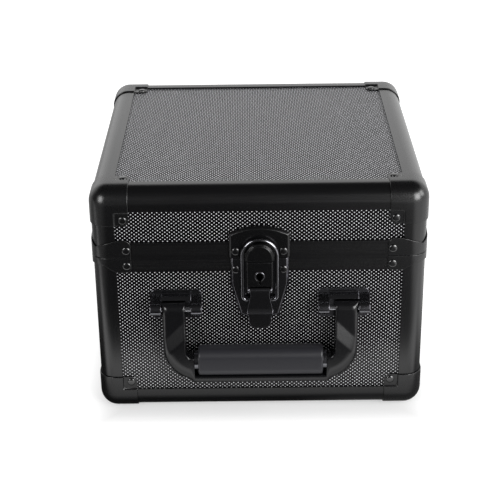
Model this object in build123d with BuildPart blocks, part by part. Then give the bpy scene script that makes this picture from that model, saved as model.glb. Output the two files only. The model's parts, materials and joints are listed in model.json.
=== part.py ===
from build123d import *
import os

# A case for graded card slabs: boards held in black edge extrusions, pressed ball corners,
# a lidded tongue-and-groove seam, a loop latch with a lock, a drop handle and two hinges.
# Millimetres. +Z is up, the front faces -Y, and the origin is under the middle of the outline.

os.makedirs("parts", exist_ok=True)

# Size over the ball corners, and how much of the height is lid
width = 241.3
depth = 241.3
height = 180.3
lid_height = 53.3

# Edge extrusions and the boards in their slots
sheet_t = 0.9
sheet_fit = 0.1
rail_r = 12.0
rail_leg = 17.0
lip_t = 1.3
panel_t = 4.0
slot_depth = 9.0

# Seam rims: a tongue all round the base in a groove all round the lid
rim_h = 11.5
rim_web = 5.0
tongue_w = 2.6
tongue_h = 3.0
tongue_side_gap = 0.7
tongue_top_gap = 0.5
rib_pitch = 2.6
rib_gap = 1.1
rib_depth = 0.5
ribs_between = 3

# Pressed corners and their rivets
corner_reach = 28.5
tab_cut = 3.0
connector_cut = 11.0
rim_corner_reach = 29.0
rim_corner_rise = 13.5
rim_corner_dip = 5.5
rim_corner_drop = 11.5
rim_corner_lift = 5.5
rim_tab_round = 4.0
seam_relief = 0.15
rivet_r = 3.0
rivet_h = 1.1
rivet_taper = 38
rivet_sides = 12
corner_rivet_in = 24.2
rim_rivet_in = 25.7
rim_rivet_from_seam = 6.0

# Foam lining
foam_floor_t = 10.0
foam_side_t = 14.0
foam_end_t = 10.0
foam_divider_t = 20.0
foam_lid_t = 12.0
foam_joint = 0.2
foam_below_seam = 2.0
foam_above_seam = 5.0

# Latch: each rise is measured up from the seam, each out forward from the front of the case
strike_half_w = 21.8
strike_shoulder_rise = 18.6
strike_top_rise = 24.2
strike_gap = 0.2
plate_out = 1.5
plate_bevel = 1.6
keeper_half_w = 20.8
keeper_taper_rise = -21.0
keeper_bottom_half_w = 14.0
keeper_bottom_rise = -47.2
keeper_round = 4.0
boss_half_w = 9.25
boss_top_rise = 12.1
boss_out = 8.0
hook_grow = 1.1
hook_out = 7.0
lock_bottom_rise = -20.0
lock_gap = 0.35
lock_out = 8.0
lock_edge = 1.0
lock_rise = -11.6
plug_r = 3.6
keyhole_r = 1.9
keyway_w = 1.3
keyway_reach = 6.4
keyway_deep = 3.0
cam_r = 5.6
cam_w = 3.6
cam_t = 1.6
cam_room = 0.5
turn_fit = 0.05
wire_r = 1.35
wire_sides = 12
loop_half_w = 12.3
loop_top_rise = 16.8
loop_out = 4.6
loop_bend_r = 2.6
foot_rise = -31.5
lever_pivot_rise = -22.8
lever_pivot_out = 7.0
barrel_r = 2.4
lever_pin_r = 1.2
lever_t = 1.2
lever_top_half_w = 7.1
lever_flare_half_w = 10.2
lever_tongue_half_w = 8.7
lever_bend_rise = -37.0
lever_neck_rise = -39.4
lever_tip_rise = -51.6
lever_tip_out = 11.6
cheek_in_rise = -34.4
cheek_top_rise = -27.4
cheek_back_out = 2.9
ear_gap = 0.3
ear_t = 1.4
latch_rivet_x = 17.0
strike_rivet_rise = 5.4
keeper_rivet_rise = -8.9

# Handle, on the same rises and outs
bracket_x = 60.5
bracket_half_w = 18.5
bracket_top_rise = -26.0
bracket_bottom_rise = -49.0
bracket_t = 1.4
bracket_round = 3.0
hood_t = 2.6
hood_out = 5.6
lug_w = 7.8
lug_r = 4.6
handle_pin_rise = -37.5
handle_pin_out = 7.0
handle_pin_r = 2.0
arm_in_x = 54.2
arm_out_x = 70.9
arm_head_r = 5.0
arm_back_out = 3.4
strap_out = 12.0
bulge_out = 15.6
ramp_reach = 9.5
ramp_in_rise = -44.5
ramp_out_rise = -61.5
handle_corner_r = 27.0
handle_bottom_rise = -95.0
handle_edge_r = 4.6
shoulder_x = 48.0
shoulder_top_rise = -74.0
shoulder_slope_x = 51.6
shoulder_slope_rise = -70.0
bar_top_rise = -89.4
grip_half_l = 45.4
grip_half_h = 10.8
grip_half_t = 8.3
grip_round = 6.5
grip_rise = -77.9
grip_out = 10.0
grip_end_round = 1.6
core_r = 2.2
core_half_l = 51.0
core_fit = 0.02

# Hinges
hinge_from_side = 52.65
hinge_half_w = 21.0
hinge_out = 4.0
knuckle_r = 3.0
hinge_pin_r = 1.5
hinge_leaf_t = 1.2
hinge_leaf_near = 1.6
hinge_leaf_far = 10.8
hinge_knuckle_half_w = 7.0
hinge_axial_gap = 0.25
hinge_rivet_pitch = 14.0
hinge_rivet_from_seam = 6.6

# Depths in from the outer planes that the pieces share
seam_z = height - lid_height
rail_inset = sheet_t + sheet_fit
leg_t = lip_t + panel_t + lip_t
post_reach = rail_inset + rail_leg
panel_face = rail_inset + lip_t
panel_back = panel_face + panel_t
panel_edge = post_reach - slot_depth
lining = rail_inset + leg_t
ball_r = rail_r + rail_inset
tab_face = panel_face - sheet_fit - sheet_t

# The handle's grip reaches furthest forward and the hinge knuckles furthest back
front_y = (grip_out + grip_half_t - depth - hinge_out - knuckle_r) / 2
back_y = front_y + depth
mid_y = front_y + depth / 2
left_x = -width / 2
mid_plane = Plane.XZ.offset(-mid_y)
mid_height = Plane.XY.offset(height / 2)
hinge_x = width / 2 - hinge_from_side
low = (Align.MIN, Align.MIN)
cube_low = (Align.MIN, Align.MIN, Align.MIN)


def keep(piece, name):
    """Label a finished piece and write it as one file."""
    piece.label = name
    export_step(piece, f"parts/{name}.step")


def front_plane(out=0.0):
    """A plane facing forward, `out` in front of the case: local x is +X, local y the rise."""
    return Plane(origin=(0, front_y - out, seam_z), x_dir=(1, 0, 0), z_dir=(0, -1, 0))


def side_plane(x):
    """A plane facing -X at x: local x runs out from the front of the case, local y is the rise."""
    return Plane(origin=(x, front_y, seam_z), x_dir=(0, -1, 0), z_dir=(-1, 0, 0))


def board(corner, far_corner):
    """A plain board between two opposite corners."""
    size = Vector(*far_corner) - Vector(*corner)
    with BuildPart(Plane(origin=corner)) as piece:
        Box(size.X, size.Y, size.Z, align=cube_low)
    return piece.part


def mirrored(source, plane):
    """The opposite piece of a handed pair."""
    with BuildPart() as piece:
        mirror(source, about=plane)
    return piece.part


# Boards: each stands in the slots of the extrusions round it

panel_low_z = panel_edge
panel_high_z = height - panel_edge
base_panel_top = seam_z - rim_web
lid_panel_bottom = seam_z + rim_web
left_edge, right_edge = left_x + panel_edge, -left_x - panel_edge
front_edge, back_edge = front_y + panel_edge, back_y - panel_edge

base_bottom_panel = board(
    (left_edge, front_edge, panel_face), (right_edge, back_edge, panel_back)
)
keep(base_bottom_panel, "base_bottom_panel")
keep(mirrored(base_bottom_panel, mid_height), "lid_top_panel")

for part_name, bottom, top in (
    ("base", panel_low_z, base_panel_top),
    ("lid", lid_panel_bottom, panel_high_z),
):
    front_panel = board(
        (left_edge, front_y + panel_face, bottom), (right_edge, front_y + panel_back, top)
    )
    left_panel = board(
        (left_x + panel_face, front_edge, bottom), (left_x + panel_back, back_edge, top)
    )
    keep(front_panel, f"{part_name}_front_panel")
    keep(mirrored(front_panel, mid_plane), f"{part_name}_back_panel")
    keep(left_panel, f"{part_name}_left_panel")
    keep(mirrored(left_panel, Plane.YZ), f"{part_name}_right_panel")


# Edge extrusions: a rounded angle whose two legs are slotted for the boards


def rail(plane, length):
    """One extrusion, with the rounded outer corner at the plane's origin."""
    with BuildPart() as bar:
        with BuildSketch(plane):
            with BuildLine():
                Line((rail_leg, 0), (rail_r, 0))
                CenterArc((rail_r, rail_r), rail_r, 270, -90)
                Line((0, rail_r), (0, rail_leg))
                Polyline((0, rail_leg), (leg_t, rail_leg), (leg_t, leg_t), (rail_leg, leg_t))
                Line((rail_leg, leg_t), (rail_leg, 0))
            make_face()
            with Locations((rail_leg - slot_depth, lip_t)):
                Rectangle(slot_depth, panel_t, align=low, mode=Mode.SUBTRACT)
            with Locations((lip_t, rail_leg - slot_depth)):
                Rectangle(panel_t, slot_depth, align=low, mode=Mode.SUBTRACT)
        extrude(amount=length)
    return bar.part


rail_x = left_x + rail_inset
rail_y = front_y + rail_inset
across = width - 2 * post_reach
along = depth - 2 * post_reach

base_front_rail = rail(
    Plane((left_x + post_reach, rail_y, rail_inset), x_dir=(0, 1, 0), z_dir=(1, 0, 0)), across
)
base_left_rail = rail(
    Plane((rail_x, front_y + post_reach, rail_inset), x_dir=(0, 0, 1), z_dir=(0, 1, 0)), along
)
keep(base_front_rail, "base_front_rail")
keep(mirrored(base_front_rail, mid_plane), "base_back_rail")
keep(base_left_rail, "base_left_rail")
keep(mirrored(base_left_rail, Plane.YZ), "base_right_rail")

lid_front_rail = mirrored(base_front_rail, mid_height)
lid_left_rail = mirrored(base_left_rail, mid_height)
keep(lid_front_rail, "lid_front_rail")
keep(mirrored(lid_front_rail, mid_plane), "lid_back_rail")
keep(lid_left_rail, "lid_left_rail")
keep(mirrored(lid_left_rail, Plane.YZ), "lid_right_rail")

for part_name, bottom, top in (
    ("base", post_reach, seam_z - seam_relief),
    ("lid", seam_z + seam_relief, height - post_reach),
):
    with BuildPart() as corner_posts:
        add(rail(Plane((rail_x, rail_y, bottom)), top - bottom))
        mirror(about=Plane.YZ)
        mirror(about=mid_plane)
    keep(corner_posts.part, f"{part_name}_corner_posts")


# Seam rims: ribbed outside, slotted for the board, tongued on the base and grooved on the lid


def rim(plane, length, tongued):
    """One rim; local x runs in from its ribbed face and local y away from the seam."""
    with BuildPart() as bar:
        with BuildSketch(plane):
            Rectangle(leg_t, rim_h, align=low)
            with Locations((lip_t, rim_web)):
                Rectangle(panel_t, rim_h - rim_web, align=low, mode=Mode.SUBTRACT)
            with Locations((0, rim_h / 2)):
                with GridLocations(1, rib_pitch, 1, ribs_between):
                    Rectangle(2 * rib_depth, rib_gap, mode=Mode.SUBTRACT)
            with Locations((leg_t / 2, 0)):
                if tongued:
                    Rectangle(tongue_w, tongue_h, align=(Align.CENTER, Align.MAX))
                else:
                    Rectangle(
                        tongue_w + 2 * tongue_side_gap,
                        tongue_h + tongue_top_gap,
                        align=(Align.CENTER, Align.MIN),
                        mode=Mode.SUBTRACT,
                    )
        extrude(amount=length)
    return bar.part


base_front_rim = rim(
    Plane((-left_x - post_reach, rail_y, seam_z), x_dir=(0, 1, 0), z_dir=(-1, 0, 0)),
    across,
    tongued=True,
)
base_left_rim = rim(
    Plane((rail_x, front_y + post_reach, seam_z), x_dir=(1, 0, 0), z_dir=(0, 1, 0)),
    along,
    tongued=True,
)
lid_front_rim = rim(
    Plane((left_x + post_reach, rail_y, seam_z), x_dir=(0, 1, 0), z_dir=(1, 0, 0)),
    across,
    tongued=False,
)
lid_left_rim = rim(
    Plane((rail_x, back_y - post_reach, seam_z), x_dir=(1, 0, 0), z_dir=(0, -1, 0)),
    along,
    tongued=False,
)
for part_name, front_rim, left_rim in (
    ("base", base_front_rim, base_left_rim),
    ("lid", lid_front_rim, lid_left_rim),
):
    keep(front_rim, f"{part_name}_front_rim")
    keep(mirrored(front_rim, mid_plane), f"{part_name}_back_rim")
    keep(left_rim, f"{part_name}_left_rim")
    keep(mirrored(left_rim, Plane.YZ), f"{part_name}_right_rim")


# Corners are drawn once in the octant x, y, z > 0, with the case's corner at the origin.
# Each of these planes lies on one outer face of the octant, and its normal points inwards.

octant_faces = (
    Plane.XY,
    Plane((0, 0, 0), x_dir=(0, 0, 1), z_dir=(0, 1, 0)),
    Plane((0, 0, 0), x_dir=(0, 1, 0), z_dir=(1, 0, 0)),
)


def rounded_octant(start, end, radius):
    """A cube between equal depths `start` and `end`, its three outer edges rounded."""
    with BuildPart(Plane((start, start, start))) as block:
        Box(end - start, end - start, end - start, align=cube_low)
        fillet(block.edges().sort_by_distance((start, start, start))[:3], radius)
    return block.part


def four_corners(octant_part, name):
    """The octant's piece at the four corners of the base, or of the lid above it."""
    with BuildPart() as group:
        with Locations((left_x, front_y, 0)):
            add(octant_part)
        mirror(about=Plane.YZ)
        mirror(about=mid_plane)
        if name.startswith("lid"):
            mirror(about=mid_height, mode=Mode.REPLACE)
    keep(group.part, name)


# Ball corner: a pressed sheet over three extrusion ends, with a tab joggled down to each board

with BuildPart() as ball_corner:
    add(rounded_octant(0, corner_reach, ball_r))
    add(rounded_octant(sheet_t, corner_reach + 1, ball_r - sheet_t), mode=Mode.SUBTRACT)
    for face in octant_faces:
        with BuildSketch(face) as tab:
            tab_side = corner_reach - post_reach
            with Locations((post_reach, post_reach)):
                Rectangle(tab_side, tab_side, align=low)
            chamfer(tab.vertices().sort_by_distance((corner_reach, corner_reach))[:1], tab_cut)
        extrude(amount=tab_face + sheet_t)
        with BuildSketch(face):
            with Locations((post_reach + sheet_t, post_reach + sheet_t)):
                Rectangle(tab_side, tab_side, align=low)
        extrude(amount=tab_face, mode=Mode.SUBTRACT)
four_corners(ball_corner.part, "base_ball_corners")
four_corners(ball_corner.part, "lid_ball_corners")

# Corner connector: a moulded three-way block under the ball corner, stepped for the boards

with BuildPart(Plane((rail_inset, rail_inset, rail_inset))) as connector:
    Box(rail_leg, rail_leg, rail_leg, align=cube_low)
    corner_point = (rail_inset, rail_inset, rail_inset)
    chamfer(connector.edges().sort_by_distance(corner_point)[:3], connector_cut)
    with BuildSketch(Plane.XY.offset(lining)):
        with Locations((lining, lining)):
            Rectangle(post_reach, post_reach, align=low)
    extrude(amount=post_reach, mode=Mode.SUBTRACT)
    for face in octant_faces:
        with BuildSketch(face):
            with Locations((panel_edge, panel_edge)):
                Rectangle(post_reach, post_reach, align=low)
        extrude(amount=panel_back, mode=Mode.SUBTRACT)
four_corners(connector.part, "base_corner_connectors")
four_corners(connector.part, "lid_corner_connectors")


# Rim corners: a pressed sheet that wraps the post and the ends of two rims


def rim_corner(bottom, top, notch):
    """A wrapped sheet between two heights, less a notch seen square to its rounded edge."""
    with BuildPart() as piece:
        with BuildSketch(Plane.XY.offset(bottom)):
            with BuildLine():
                Line((rim_corner_reach, 0), (ball_r, 0))
                CenterArc((ball_r, ball_r), ball_r, 270, -90)
                Polyline(
                    (0, ball_r), (0, rim_corner_reach), (sheet_t, rim_corner_reach), (sheet_t, ball_r)
                )
                CenterArc((ball_r, ball_r), ball_r - sheet_t, 180, 90)
                Polyline(
                    (ball_r, sheet_t), (rim_corner_reach, sheet_t), (rim_corner_reach, 0)
                )
            make_face()
        extrude(amount=top - bottom)
        with BuildSketch(Plane((0, 0, 0), x_dir=(-1, 1, 0), z_dir=(1, 1, 0))):
            with BuildLine():
                Polyline(*notch, close=True)
            make_face()
        extrude(amount=rim_corner_reach, mode=Mode.SUBTRACT)
        far_edge = bottom if notch[0][1] < seam_z else top
        ends = piece.edges().filter_by(Axis.X).group_by(Axis.Y)[-1]
        ends += piece.edges().filter_by(Axis.Y).group_by(Axis.X)[-1]
        fillet([e for e in ends if abs(e.center().Z - far_edge) < sheet_t], rim_tab_round)
    return piece.part


notch_half = post_reach / 2**0.5
lid_corner_top = seam_z + rim_corner_rise
base_corner_bottom = seam_z - rim_corner_drop
lid_rim_corner = rim_corner(
    seam_z + seam_relief,
    lid_corner_top,
    [
        (-notch_half, lid_corner_top + 1),
        (-notch_half, lid_corner_top),
        (0, lid_corner_top - rim_corner_dip),
        (notch_half, lid_corner_top),
        (notch_half, lid_corner_top + 1),
    ],
)
base_rim_corner = rim_corner(
    base_corner_bottom,
    seam_z - seam_relief,
    [
        (-notch_half, base_corner_bottom - 1),
        (-notch_half, base_corner_bottom),
        (-ball_r / 2, base_corner_bottom + rim_corner_lift),
        (ball_r / 2, base_corner_bottom + rim_corner_lift),
        (notch_half, base_corner_bottom),
        (notch_half, base_corner_bottom - 1),
    ],
)
for part_name, sheet_corner in (("base", base_rim_corner), ("lid", lid_rim_corner)):
    with BuildPart() as rim_corners:
        with Locations((left_x, front_y, 0)):
            add(sheet_corner)
        mirror(about=Plane.YZ)
        mirror(about=mid_plane)
    keep(rim_corners.part, f"{part_name}_rim_corners")


# Rivets: low domed heads on the tabs, the rim corners, the latch plates and the hinge leaves

with BuildPart() as rivet:
    with BuildSketch():
        RegularPolygon(rivet_r, rivet_sides)
    extrude(amount=rivet_h, taper=rivet_taper)


def rivet_plane(point, outward):
    """A plane whose normal is the way a rivet's head faces."""
    return Plane(origin=point, z_dir=outward)


def rivets(planes):
    """One group of rivets, a head on each plane."""
    with BuildPart() as group:
        with Locations(*planes):
            add(rivet.part)
    return group.part


corner_in, rim_in = corner_rivet_in, rim_rivet_in
for part_name, up in (("base", -1), ("lid", 1)):
    corner_z = 0 if up < 0 else height
    tab_z = corner_z - up * corner_in
    rim_z = seam_z + up * rim_rivet_from_seam
    quarter = [
        rivet_plane((left_x + corner_in, front_y + corner_in, corner_z - up * tab_face), (0, 0, up)),
        rivet_plane((left_x + corner_in, front_y + tab_face, tab_z), (0, -1, 0)),
        rivet_plane((left_x + tab_face, front_y + corner_in, tab_z), (-1, 0, 0)),
        rivet_plane((left_x + rim_in, front_y, rim_z), (0, -1, 0)),
        rivet_plane((left_x, front_y + rim_in, rim_z), (-1, 0, 0)),
    ]
    latch_z = seam_z + (keeper_rivet_rise if up < 0 else strike_rivet_rise)
    leaf_z = seam_z + up * hinge_rivet_from_seam
    leaf_y = back_y - rail_inset + hinge_leaf_t
    latch_pair = [
        rivet_plane((side * latch_rivet_x, front_y - plate_out, latch_z), (0, -1, 0))
        for side in (-1, 1)
    ]
    leaf_set = [
        rivet_plane((side * hinge_x + step * hinge_rivet_pitch, leaf_y, leaf_z), (0, 1, 0))
        for side in (-1, 1)
        for step in (-1, 0, 1)
    ]
    with BuildPart() as body_rivets:
        add(rivets(quarter))
        mirror(about=Plane.YZ)
        mirror(about=mid_plane)
        add(rivets(latch_pair))
        add(rivets(leaf_set))
    keep(body_rivets.part, f"{part_name}_rivets")


# Foam: a floor, four wall boards and a divider in the base, a pad and four wall boards in the lid


def foam_walls(bottom, top):
    """Two end boards across the case, and two side boards between them."""
    inner_x, inner_y = left_x + lining, front_y + lining
    with BuildPart() as walls:
        add(board((inner_x, inner_y, bottom), (-inner_x, inner_y + foam_end_t, top)))
        mirror(about=mid_plane)
        add(
            board(
                (inner_x, inner_y + foam_end_t + foam_joint, bottom),
                (inner_x + foam_side_t, back_y - lining - foam_end_t - foam_joint, top),
            )
        )
        mirror(walls.solids().sort_by(Axis.X)[0], about=Plane.YZ)
    return walls.part


foam_floor_top = lining + foam_floor_t
foam_base_top = seam_z - foam_below_seam
foam_pad_bottom = height - lining - foam_lid_t
keep(
    board(
        (left_x + lining, front_y + lining, lining),
        (-left_x - lining, back_y - lining, foam_floor_top),
    ),
    "base_foam_floor",
)
keep(foam_walls(foam_floor_top, foam_base_top), "base_foam_walls")
keep(
    board(
        (-foam_divider_t / 2, front_y + lining + foam_end_t, foam_floor_top),
        (foam_divider_t / 2, back_y - lining - foam_end_t, foam_base_top),
    ),
    "base_foam_divider",
)
keep(
    board(
        (left_x + lining, front_y + lining, foam_pad_bottom),
        (-left_x - lining, back_y - lining, height - lining),
    ),
    "lid_foam_pad",
)
keep(foam_walls(seam_z + foam_above_seam, foam_pad_bottom), "lid_foam_walls")


# Latch plate on the lid: a bevelled plate with an arched top, and the hook the loop pulls on

with BuildPart() as latch_lid_plate:
    with BuildSketch(front_plane(-rail_inset)) as strike:
        with BuildLine():
            Polyline(
                (-strike_half_w, strike_shoulder_rise),
                (-strike_half_w, strike_gap),
                (strike_half_w, strike_gap),
                (strike_half_w, strike_shoulder_rise),
            )
            ThreePointArc(
                (strike_half_w, strike_shoulder_rise),
                (0, strike_top_rise),
                (-strike_half_w, strike_shoulder_rise),
            )
        make_face()
    extrude(amount=rail_inset + plate_out)
    chamfer(
        latch_lid_plate.faces().sort_by(Axis.Y)[0].edges().sort_by(Axis.Z)[1:], plate_bevel
    )
    # over the board the plate's rim is turned back to meet it
    with BuildSketch(front_plane(-panel_face)):
        add(strike.sketch_local)
        with Locations((0, rim_h)):
            Rectangle(3 * strike_half_w, 2 * rim_h, align=(Align.CENTER, Align.MAX),
                      mode=Mode.SUBTRACT)
    extrude(amount=panel_face - rail_inset)
    boss_arch_rise = boss_top_rise - boss_half_w
    for reach, grow in ((hook_out, hook_grow), (boss_out, 0)):
        with BuildSketch(front_plane(plate_out)):
            with Locations((0, boss_arch_rise)):
                Circle(boss_half_w + grow)
                Rectangle(
                    2 * (boss_half_w + grow),
                    boss_arch_rise - strike_gap,
                    align=(Align.CENTER, Align.MAX),
                )
        extrude(amount=reach - plate_out)
    with BuildSketch(front_plane(plate_out)):
        with Locations((0, strike_gap)):
            Rectangle(3 * boss_half_w, boss_half_w * 2, align=(Align.CENTER, Align.MAX))
    extrude(amount=boss_out, mode=Mode.SUBTRACT)
    chamfer(latch_lid_plate.faces().sort_by(Axis.Y)[0].edges().sort_by(Axis.Z)[1:], lock_edge / 2)
keep(latch_lid_plate.part, "latch_lid_plate")


# Keeper plate on the base: it carries the lock, the lever's ears and the bottom of the latch

lever_axis_y = front_y - lever_pivot_out
ear_in_x = lever_top_half_w + ear_gap
ear_out_x = ear_in_x + ear_t

with BuildPart() as latch_base_plate:
    with BuildSketch(front_plane(-rail_inset)) as keeper:
        with BuildLine():
            Polyline(
                (keeper_half_w, -strike_gap),
                (keeper_half_w, keeper_taper_rise),
                (keeper_bottom_half_w, keeper_bottom_rise),
                (-keeper_bottom_half_w, keeper_bottom_rise),
                (-keeper_half_w, keeper_taper_rise),
                (-keeper_half_w, -strike_gap),
                close=True,
            )
        make_face()
        fillet(keeper.vertices().group_by(Axis.Y)[0], keeper_round)
    extrude(amount=rail_inset + plate_out)
    chamfer(
        latch_base_plate.faces().sort_by(Axis.Y)[0].edges().sort_by(Axis.Z)[:-1], plate_bevel
    )
    with BuildSketch(front_plane(-panel_face)):
        add(keeper.sketch_local)
        with Locations((0, -rim_h)):
            Rectangle(3 * keeper_half_w, 2 * rim_h, align=(Align.CENTER, Align.MIN),
                      mode=Mode.SUBTRACT)
    extrude(amount=panel_face - rail_inset)
    with BuildSketch(side_plane(ear_out_x)):
        with Locations((lever_pivot_out, lever_pivot_rise)):
            Circle(barrel_r)
            Rectangle(lever_pivot_out - plate_out, 2 * barrel_r, align=(Align.MAX, Align.CENTER))
            Circle(lever_pin_r + turn_fit, mode=Mode.SUBTRACT)
    extrude(amount=ear_t)
    with BuildSketch(side_plane(-ear_in_x)):
        with Locations((lever_pivot_out, lever_pivot_rise)):
            Circle(barrel_r)
            Rectangle(lever_pivot_out - plate_out, 2 * barrel_r, align=(Align.MAX, Align.CENTER))
            Circle(lever_pin_r + turn_fit, mode=Mode.SUBTRACT)
    extrude(amount=ear_t)
keep(latch_base_plate.part, "latch_base_plate")

# Lock housing: a block with an edge rounded all round, bored for the plug and its cam

cam_back_out = plate_out + cam_room
cam_front_out = cam_back_out + cam_t
pocket_out = cam_front_out + cam_room

with BuildPart() as lock_housing:
    with BuildSketch(front_plane(plate_out)):
        with Locations((0, lock_bottom_rise)):
            Rectangle(2 * boss_half_w, -lock_gap - lock_bottom_rise,
                      align=(Align.CENTER, Align.MIN))
    extrude(amount=lock_out - plate_out)
    fillet(lock_housing.faces().sort_by(Axis.Y)[0].edges(), lock_edge)
    with BuildSketch(front_plane(plate_out)):
        with Locations((0, lock_rise)):
            Circle(cam_r + cam_room)
    extrude(amount=pocket_out - plate_out, mode=Mode.SUBTRACT)
    with BuildSketch(front_plane(pocket_out)):
        with Locations((0, lock_rise)):
            Circle(plug_r + turn_fit)
    extrude(amount=lock_out - pocket_out, mode=Mode.SUBTRACT)
    with BuildSketch(front_plane(lock_out - keyway_deep)):
        with Locations((0, lock_rise)):
            Rectangle(keyway_w, keyway_reach, align=(Align.CENTER, Align.MAX))
    extrude(amount=keyway_deep, mode=Mode.SUBTRACT)
keep(lock_housing.part, "lock_housing")

# Lock plug: the turning cylinder with its keyhole, and the cam behind it

with BuildPart() as lock_cylinder:
    with BuildSketch(front_plane(cam_front_out)):
        with Locations((0, lock_rise)):
            Circle(plug_r)
    extrude(amount=lock_out - cam_front_out)
    with BuildSketch(front_plane(lock_out - keyway_deep)):
        with Locations((0, lock_rise)):
            Circle(keyhole_r)
            Rectangle(keyway_w, 2 * plug_r, align=(Align.CENTER, Align.MAX))
    extrude(amount=keyway_deep, mode=Mode.SUBTRACT)
    with BuildSketch(front_plane(cam_back_out)):
        with Locations((0, lock_rise)):
            Circle(plug_r)
            Rectangle(cam_w, cam_r, align=(Align.CENTER, Align.MAX))
    extrude(amount=cam_t)
keep(lock_cylinder.part, "lock_cylinder")

# Lever: a rolled barrel, a flared plate and a thumb tongue, with two cheeks bored for the loop

with BuildPart() as latch_lever:
    plate_front = lever_pivot_out + barrel_r
    plate_back = plate_front - lever_t
    tip_back = lever_tip_out - lever_t
    flare_rise = lever_pivot_rise - barrel_r - ear_gap
    with BuildSketch(side_plane(lever_flare_half_w)):
        with BuildLine():
            Polyline(
                (plate_front, lever_pivot_rise),
                (plate_front, lever_bend_rise),
                (lever_tip_out, lever_tip_rise),
                (tip_back, lever_tip_rise),
                (plate_back, lever_bend_rise),
                (plate_back, lever_pivot_rise),
                close=True,
            )
        make_face()
    extrude(amount=2 * lever_flare_half_w)
    with BuildSketch(front_plane()) as lever_face:
        with BuildLine():
            Polyline(
                (-lever_top_half_w, lever_pivot_rise),
                (-lever_top_half_w, flare_rise),
                (-lever_flare_half_w, lever_bend_rise),
                (-lever_tongue_half_w, lever_neck_rise),
                (-lever_tongue_half_w, lever_tip_rise),
                (lever_tongue_half_w, lever_tip_rise),
                (lever_tongue_half_w, lever_neck_rise),
                (lever_flare_half_w, lever_bend_rise),
                (lever_top_half_w, flare_rise),
                (lever_top_half_w, lever_pivot_rise),
                close=True,
            )
        make_face()
        fillet(lever_face.vertices().group_by(Axis.Y)[0], lever_tongue_half_w * 0.75)
    extrude(amount=2 * lever_tip_out, mode=Mode.INTERSECT)
    with BuildSketch(side_plane(lever_top_half_w)):
        with Locations((lever_pivot_out, lever_pivot_rise)):
            Circle(barrel_r)
    extrude(amount=2 * lever_top_half_w)
    for cheek_x in (lever_top_half_w, lever_t - lever_top_half_w):
        with BuildSketch(side_plane(cheek_x)):
            with BuildLine():
                Polyline(
                    (plate_back, cheek_top_rise),
                    (cheek_back_out, cheek_top_rise - lever_t),
                    (cheek_back_out, cheek_in_rise),
                    (plate_back, cheek_in_rise - lever_t),
                    close=True,
                )
            make_face()
            with Locations((loop_out, foot_rise)):
                Circle(wire_r + turn_fit, mode=Mode.SUBTRACT)
        extrude(amount=lever_t)
    with BuildSketch(side_plane(lever_top_half_w)):
        with Locations((lever_pivot_out, lever_pivot_rise)):
            Circle(lever_pin_r + turn_fit)
    extrude(amount=2 * lever_top_half_w, mode=Mode.SUBTRACT)
keep(latch_lever.part, "latch_lever")

with BuildPart() as lever_pin:
    with BuildSketch(side_plane(ear_out_x)):
        with Locations((lever_pivot_out, lever_pivot_rise)):
            Circle(lever_pin_r)
    extrude(amount=2 * ear_out_x)
keep(lever_pin.part, "lever_pin")

# Loop: one bent wire, arched over the hook, whose feet turn in to the lever's cheeks

loop_arch_rise = loop_top_rise - wire_r - loop_half_w
foot_in_x = lever_top_half_w - lever_t

with BuildPart() as latch_loop:
    with BuildLine(front_plane(loop_out)) as wire_path:
        ThreePointArc(
            (-loop_half_w, loop_arch_rise),
            (0, loop_arch_rise + loop_half_w),
            (loop_half_w, loop_arch_rise),
        )
        FilletPolyline(
            (loop_half_w, loop_arch_rise), (loop_half_w, foot_rise), (foot_in_x, foot_rise),
            radius=loop_bend_r,
        )
        FilletPolyline(
            (-loop_half_w, loop_arch_rise), (-loop_half_w, foot_rise), (-foot_in_x, foot_rise),
            radius=loop_bend_r,
        )
    foot_end = (foot_in_x, front_y - loop_out, seam_z + foot_rise)
    with BuildSketch(Plane(foot_end, z_dir=(1, 0, 0))):
        RegularPolygon(wire_r, wire_sides)
    sweep(path=wire_path.wire())
keep(latch_loop.part, "latch_loop")


# Handle brackets: a riveted plate with two lugs that carry the pin

bracket_back = -panel_face
bracket_face = bracket_back + bracket_t
for part_name, side in (("left", -1), ("right", 1)):
    with BuildPart() as bracket:
        with BuildSketch(front_plane(bracket_back)) as foot:
            with Locations((side * bracket_x, (bracket_top_rise + bracket_bottom_rise) / 2)):
                RectangleRounded(
                    2 * bracket_half_w, bracket_top_rise - bracket_bottom_rise, bracket_round
                )
        extrude(amount=bracket_t)
        for lug_left in (-bracket_half_w, bracket_half_w - lug_w):
            with BuildSketch(side_plane(side * bracket_x + lug_left + lug_w)):
                with BuildLine():
                    Line((bracket_face, bracket_top_rise - bracket_round),
                         (handle_pin_out, handle_pin_rise + lug_r))
                    ThreePointArc(
                        (handle_pin_out, handle_pin_rise + lug_r),
                        (handle_pin_out + lug_r, handle_pin_rise),
                        (handle_pin_out, handle_pin_rise - lug_r),
                    )
                    Polyline(
                        (handle_pin_out, handle_pin_rise - lug_r),
                        (bracket_face, bracket_bottom_rise + bracket_round),
                        (bracket_face, bracket_top_rise - bracket_round),
                    )
                make_face()
                with Locations((handle_pin_out, handle_pin_rise)):
                    Circle(handle_pin_r + turn_fit, mode=Mode.SUBTRACT)
            extrude(amount=lug_w)
        with BuildSketch(side_plane(side * bracket_x + bracket_half_w - lug_w)):
            with BuildLine():
                Polyline(
                    (bracket_face, bracket_top_rise - bracket_round),
                    (bracket_face, bracket_top_rise - bracket_round - hood_t),
                    (hood_out, bracket_top_rise - bracket_round - hood_t),
                    (hood_out - hood_t, bracket_top_rise - bracket_round),
                    close=True,
                )
            make_face()
        extrude(amount=2 * (bracket_half_w - lug_w))
    keep(bracket.part, f"handle_bracket_{part_name}")

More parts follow.
